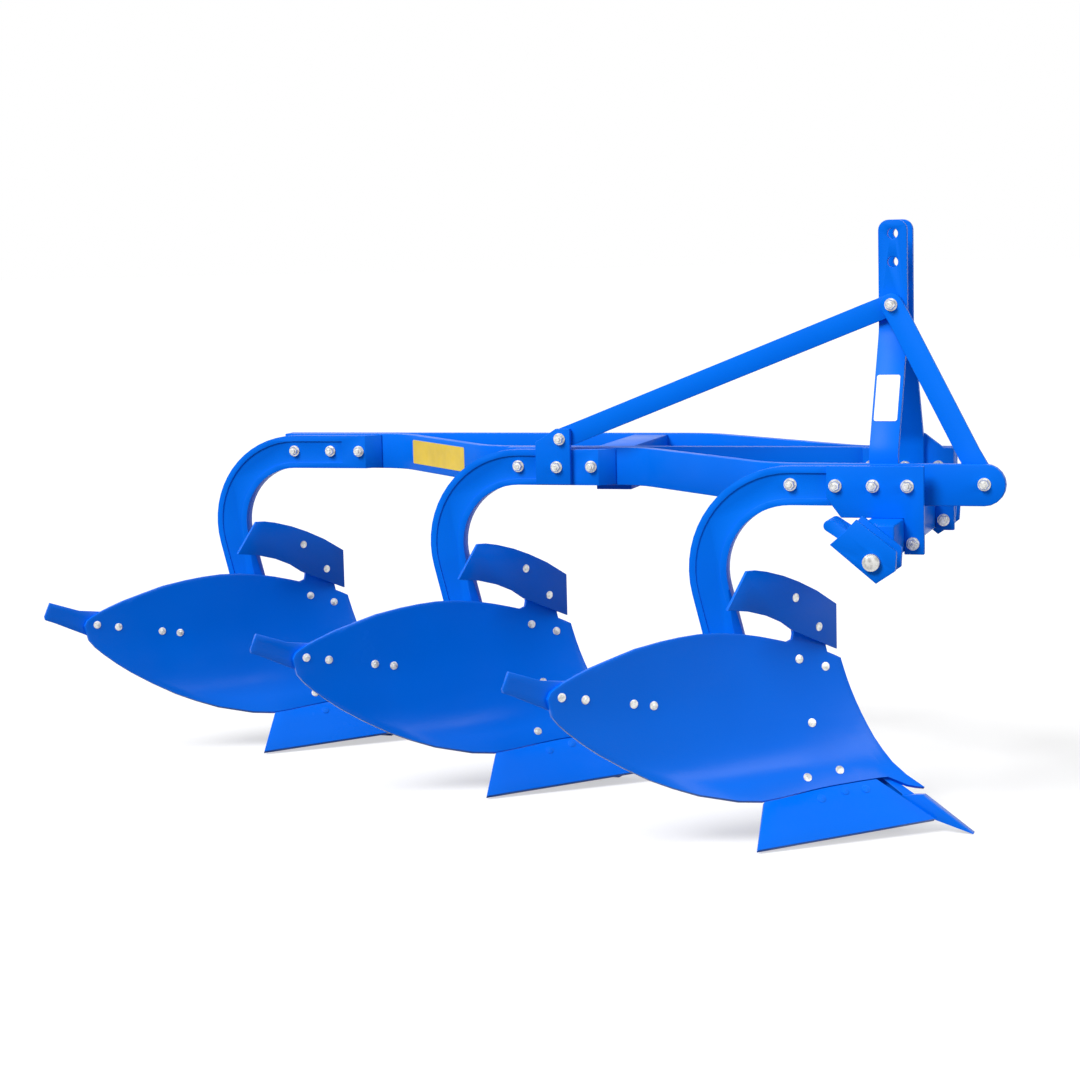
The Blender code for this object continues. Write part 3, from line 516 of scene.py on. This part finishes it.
# washer radius and height, head radius and height, tip radius and height
NUT = (0.0116, 0.0020, 0.0098, 0.0085, 0.0050, 0.0032)
HEX_HEAD = (0.0116, 0.0020, 0.0098, 0.0065, 0.0050, 0.0004)
PLOUGH_HEAD = (0.0080, 0.0006, 0.0074, 0.0008, 0.0030, 0.0002)
SMALL_NUT = (0.0105, 0.0016, 0.0092, 0.0070, 0.0050, 0.0045)

BOLT_LINE = 0.645  # height of the bolts along the beams
SHANK_BOLTS = (0.000, 0.084, 0.151)
LEFTWARD, RIGHTWARD = Vector((0, 1, 0)), Vector((0, -1, 0))
BESIDE_RIGHT, BESIDE_LEFT = -0.08, 0.14  # free places on both sides of a shank
# x, height, and the y from which the nut and the head are pushed on
FRAME_BOLTS = [
    (x - BODY_STEP * i, BOLT_LINE, FURROW * i + BESIDE_RIGHT, FURROW * i + BESIDE_LEFT)
    for i in range(len(BODIES))
    for x in SHANK_BOLTS
]
FRAME_BOLTS += [
    (0.212, BOLT_LINE, -0.08, 0.12),  # headstock, right plate
    (0.212, BOLT_LINE, 0.26, 0.46),  # left plate
    (0.151, BOLT_LINE, 0.26, 0.46),
    (0.084, BOLT_LINE, 0.26, 0.46),
    (0.2215, 0.5435, -0.08, 0.08),  # the plates' lower ends
    (0.2215, 0.5435, 0.30, 0.40),
    (0.160, 0.958, 0.05, 0.30),  # mast and its braces
    (0.341, BOLT_LINE, -0.08, 0.12),  # the front brace's foot
    (-0.522, 0.700, 0.20, 0.35),  # the rear brace's foot
]
nuts = [seat(place(x, near, z), LEFTWARD) for x, z, near, _ in FRAME_BOLTS]
heads = [seat(place(x, far, z), RIGHTWARD) for x, z, _, far in FRAME_BOLTS]
bolted("frame_nuts", nuts, NUT, HEX_SIDES, ZINC)
bolted("frame_bolt_heads", heads, HEX_HEAD, HEX_SIDES, ZINC)

# x and height of the bolts through each moldboard, its stay, tail piece and trash board
BOARD_BOLTS = (
    (0.000, 0.319),
    (0.042, 0.301),
    (0.024, 0.203),
    (0.023, 0.110),
    (0.074, 0.117),
    (-0.249, 0.271),
    (-0.220, 0.264),
    (-0.351, 0.298),
    (-0.318, 0.289),
    (0.002, 0.437),
    (0.034, 0.377),
)
SHARE_BOLTS = ((0.051, 0.075), (0.087, 0.083), (0.121, 0.083))
BEFORE_BOARDS = -0.5  # the y from which the boards' bolts are pushed in
DEEPER = 0.08


def through(front):
    """The seat at the back of a bolt whose front seat is given."""
    spot, normal = front
    return seat(spot - normal * DEEPER, normal)


for body, step in BODIES.items():
    fronts = [seat(place(x, BEFORE_BOARDS, z) + step, LEFTWARD) for x, z in BOARD_BOLTS]
    painted_fronts = [seat(place(x, BEFORE_BOARDS, z) + step, LEFTWARD) for x, z in SHARE_BOLTS]
    backs = [through(front) for front in fronts + painted_fronts]
    backs = [
        (spot, normal)
        for (spot, normal), (_, away) in zip(backs, fronts + painted_fronts)
        if spot is not None and normal.dot(away) < 0
    ]
    bolted(f"{body}_plough_bolts", fronts, PLOUGH_HEAD, ROUND_SIDES, ZINC)
    bolted(f"{body}_share_bolts", painted_fronts, PLOUGH_HEAD, ROUND_SIDES, BOARD_PAINT)
    bolted(f"{body}_board_nuts", backs, SMALL_NUT, HEX_SIDES, ZINC)

PIN_ROUNDING = 0.0015
for side in ("right", "left"):
    pin = f"hitch_pin_{side}"
    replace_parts(finished(f"{pin}_steel", softened(pin, PIN_ROUNDING), PINS), pin)


# ---------------------------------------------------------------- labels
# Two thin vinyl plates, left blank: a yellow one on the middle beam and a white one on the mast.

LABEL_THICK = 0.0005
LABEL_LIFT = 0.0002
LABEL_CORNER = 0.004
CORNER_STEPS = 4


def vinyl(name, colour):
    material, tree, shader = new_material(name, 0.4, specular=0.4)
    dull = tuple(0.88 * value for value in colour)
    tone = mixed(tree, ranged(tree, noise(tree, 25.0, 3), 0.35, 0.7, 0, 1), colour, dull)
    pale = mixed(tree, edge_mask(tree, 0.001), tone, (0.75, 0.75, 0.72))
    tree.links.new(pale, shader.inputs["Base Color"])
    tree.links.new(ranged(tree, noise(tree, 60.0, 2), 0.3, 0.7, 0.3, 0.5), shader.inputs["Roughness"])
    bumped(tree, shader, noise(tree, 120.0, 2), 0.15, 0.0004)
    return material


def label(name, centre, width, height, material):
    """A thin plate with round corners on the face that lies to the left of centre."""
    spot, normal = seat(centre, LEFTWARD)
    rise = (Vector((0, 0, 1)) - normal * normal.z).normalized()
    along = rise.cross(normal)
    solid = bmesh.new()
    corner = []
    for i, (u, v) in enumerate(((1, 1), (-1, 1), (-1, -1), (1, -1))):
        for j in range(CORNER_STEPS + 1):
            angle = math.radians(90) * (i + j / CORNER_STEPS)
            corner.append((
                u * (width / 2 - LABEL_CORNER) + LABEL_CORNER * math.cos(angle),
                v * (height / 2 - LABEL_CORNER) + LABEL_CORNER * math.sin(angle),
            ))
    base = spot + normal * LABEL_LIFT
    face = solid.faces.new([solid.verts.new(base + along * u + rise * v) for u, v in corner])
    raised = bmesh.ops.extrude_face_region(solid, geom=[face])
    tops = [item for item in raised["geom"] if isinstance(item, bmesh.types.BMVert)]
    bmesh.ops.translate(solid, vec=normal * LABEL_THICK, verts=tops)
    bmesh.ops.recalc_face_normals(solid, faces=solid.faces)
    mesh = bpy.data.meshes.new(name)
    solid.to_mesh(mesh)
    solid.free()
    return finished(name, mesh, material)


# colour: centre, from which it is pushed on to the left, width, height and paint
LABELS = {
    "yellow": ((-0.856, 0.25, 0.646), 0.250, 0.050, (0.85, 0.60, 0.05)),
    "white": ((0.159, 0.0, 0.7925), 0.042, 0.090, (0.82, 0.80, 0.80)),
}
for name, (centre, width, height, colour) in LABELS.items():
    label(f"{name}_label", place(*centre), width, height, vinyl(f"{name}_vinyl", colour))
